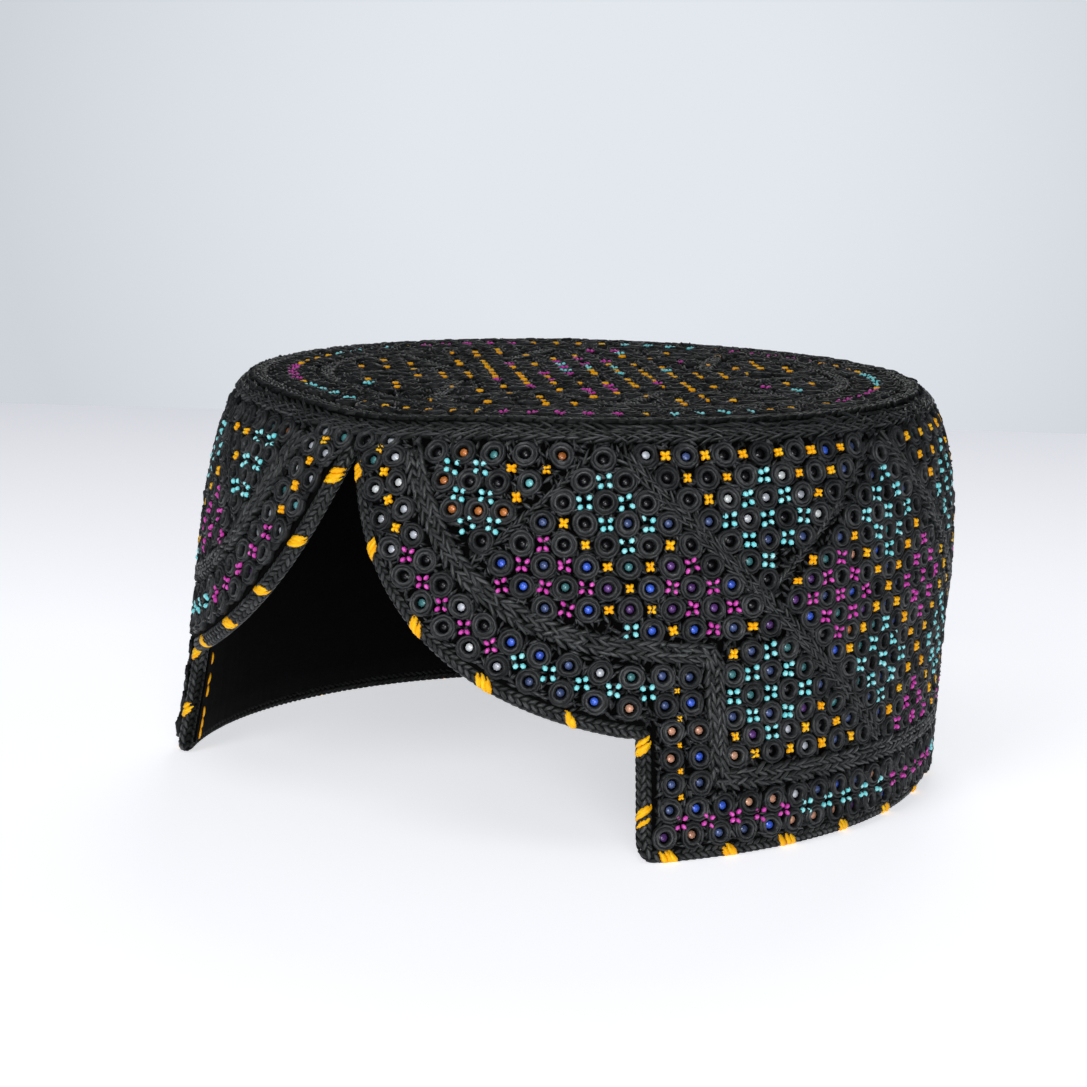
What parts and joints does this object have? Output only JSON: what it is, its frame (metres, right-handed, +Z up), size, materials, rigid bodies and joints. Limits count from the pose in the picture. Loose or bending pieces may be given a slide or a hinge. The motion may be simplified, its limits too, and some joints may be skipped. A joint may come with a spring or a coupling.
{
  "type": "sindhi cap",
  "caption": "Stiff embroidered cap with a flat oval crown, a straight band, a pointed arch with side steps cut out of its front and a black lining.",
  "frame": {"origin": "middle of the cap's length and width, on the surface that its rim stands on", "axes": "+Z up through the crown, -Y towards the front with the arch, +X towards the wearer's left side"},
  "size_m": [0.1774, 0.176, 0.0923],
  "materials": {
    "band_cloth": "black quilted cloth covered with charcoal silk thread",
    "lining_cotton": "matt black cotton",
    "black_braid": "charcoal silk braid, slightly glossy",
    "yellow_thread": "bright yellow orange stitches",
    "turquoise_thread": "turquoise stitches",
    "magenta_thread": "magenta stitches",
    "small_mirror": "small round mirrors under thread rings"
  },
  "bodies": {
    "root": {"side_band": "band_cloth", "band_lining": "lining_cotton", "crown": "band_cloth", "crown_lining": "lining_cotton", "edge_binding": "black_braid", "band_top_braid": "black_braid", "border_braid": "black_braid", "crown_edge_braid": "black_braid", "crown_ring_braid": "black_braid", "crown_star_braid": "black_braid", "slant_braid_right_1": "black_braid", "slant_braid_right_2": "black_braid", "slant_braid_right_3": "black_braid", "slant_braid_left_1": "black_braid", "slant_braid_left_2": "black_braid", "slant_braid_left_3": "black_braid", "counter_braid_right_1": "black_braid", "counter_braid_right_2": "black_braid", "counter_braid_right_3": "black_braid", "counter_braid_left_1": "black_braid", "counter_braid_left_2": "black_braid", "counter_braid_left_3": "black_braid"}
  },
  "joints": []
}
